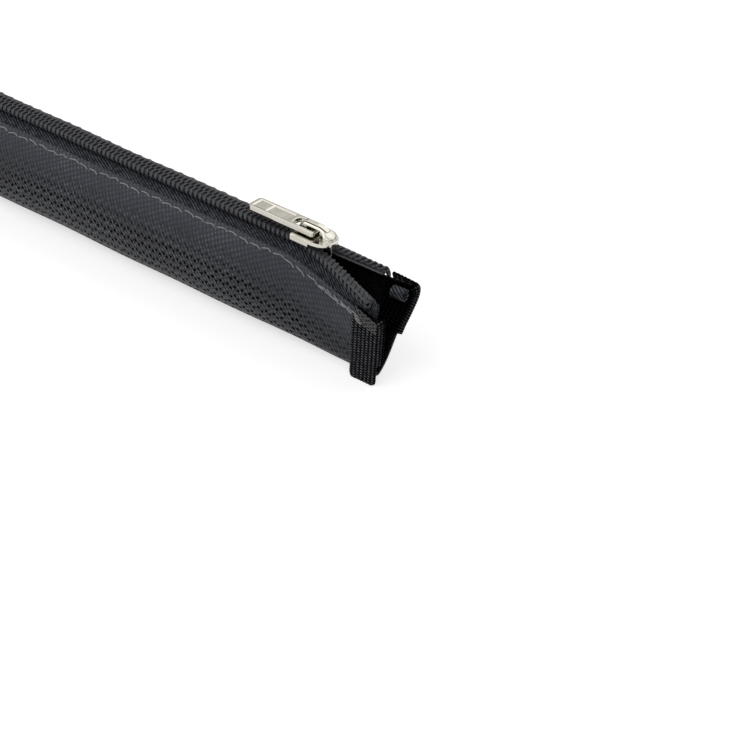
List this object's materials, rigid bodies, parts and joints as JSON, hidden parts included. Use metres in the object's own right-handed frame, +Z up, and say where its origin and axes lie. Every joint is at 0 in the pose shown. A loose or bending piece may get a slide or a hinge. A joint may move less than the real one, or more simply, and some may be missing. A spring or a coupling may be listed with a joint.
{
  "type": "zippered cable sleeve",
  "caption": "Soft mesh cable sleeve that closes along its top with a coil zip, with webbing bound ends, a metal slider and a swinging pull tab.",
  "frame": {"origin": "middle of the sleeve's footprint, on the surface that it rests on", "axes": "+X along the sleeve towards the opened mouth, +Z up through the zip, -Y the near side"},
  "size_m": [0.25, 0.0232, 0.0323],
  "materials": {
    "mesh_cloth": "open woven coated mesh",
    "zip_tape": "woven twill tape",
    "binding": "ribbed webbing",
    "coil": "nylon filament",
    "nickel": "polished"
  },
  "bodies": {
    "sleeve": {"mesh_panel": "mesh_cloth", "near_zip_tape": "zip_tape", "far_zip_tape": "zip_tape", "near_coil": "coil", "far_coil": "coil", "mouth_near_binding": "binding", "mouth_far_binding": "binding", "rear_near_binding": "binding", "rear_far_binding": "binding"},
    "slider": {"slider_body": "nickel", "lock_spring": "nickel"},
    "pull": {"pull_tab": "nickel"}
  },
  "joints": [
    {"name": "slider_slide", "type": "slide", "parent": "sleeve", "child": "slider", "axis": [1, 0, 0], "range_m": [-0.2, 0.015], "deforming": ["near_coil", "far_coil", "near_zip_tape", "far_zip_tape"]},
    {"name": "pull_hinge", "type": "hinge", "parent": "slider", "child": "pull", "pos_m": [0.0976, 0, 0.03018], "axis": [0, 1, 0], "range_deg": [0, 140]}
  ]
}
